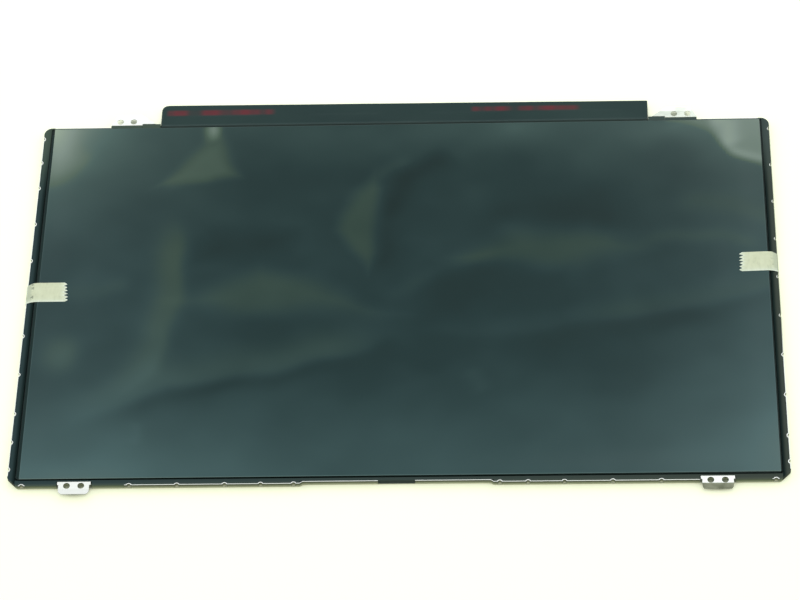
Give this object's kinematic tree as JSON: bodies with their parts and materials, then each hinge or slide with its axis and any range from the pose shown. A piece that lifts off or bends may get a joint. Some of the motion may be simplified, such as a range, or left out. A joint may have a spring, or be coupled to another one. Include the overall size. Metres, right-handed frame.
{
  "type": "laptop screen panel",
  "caption": "Slim edge-lit display panel with a folded steel rear cover, fixing tabs, a control board strip along one edge and a clear film taped over the glass.",
  "frame": {"origin": "centre of the body outline on the rear cover's back face", "axes": "+X along the long edges, to the right with the control board at the head; +Y from the foot edge to the control board; +Z out of the display"},
  "size_m": [0.3206, 0.2046, 0.0031],
  "materials": {
    "cover_steel": "bright rolled sheet",
    "frame_black": "fine satin",
    "reflector_white": "smooth",
    "guide_clear": "polished",
    "sheet_milky": "fine matte",
    "flex_amber": "smooth film",
    "led_body": "moulded",
    "tape_black": "matte",
    "polariser": "smooth film",
    "cell_glass": "clear",
    "driver_amber": "smooth film",
    "chip_black": "moulded",
    "board_green": "solder mask",
    "cover_film_black": "satin film",
    "inductor_grey": "moulded",
    "capacitor_tan": "fired",
    "resistor_black": "fired",
    "socket_ivory": "moulded",
    "socket_steel": "tin plated",
    "contact_gold": "gold plated",
    "film_clear": "smooth film",
    "tape_cream": "crepe"
  },
  "bodies": {
    "root": {"rear_cover": "cover_steel", "mould_frame": "frame_black", "reflector_sheet": "reflector_white", "light_guide_plate": "guide_clear", "diffuser_sheet": "sheet_milky", "lower_prism_sheet": "sheet_milky", "upper_prism_sheet": "sheet_milky", "led_flex_strip": "flex_amber", "leds": "led_body", "rim_tape": "tape_black", "rear_polariser": "polariser", "array_glass": "cell_glass", "colour_filter_glass": "cell_glass", "front_polariser": "polariser", "driver_film_1": "driver_amber", "driver_film_2": "driver_amber", "driver_film_3": "driver_amber", "driver_film_4": "driver_amber", "driver_chips": "chip_black", "control_board": "board_green", "board_cover_film": "cover_film_black", "timing_chip": "chip_black", "light_driver_chip": "chip_black", "power_chip": "chip_black", "memory_chip": "chip_black", "power_inductors": "inductor_grey", "capacitors": "capacitor_tan", "resistors": "resistor_black", "signal_socket_housing": "socket_ivory", "signal_socket_shell": "socket_steel", "signal_socket_contacts": "contact_gold", "protective_film": "film_clear", "film_tape_left": "tape_cream", "film_tape_right": "tape_cream"}
  },
  "joints": []
}
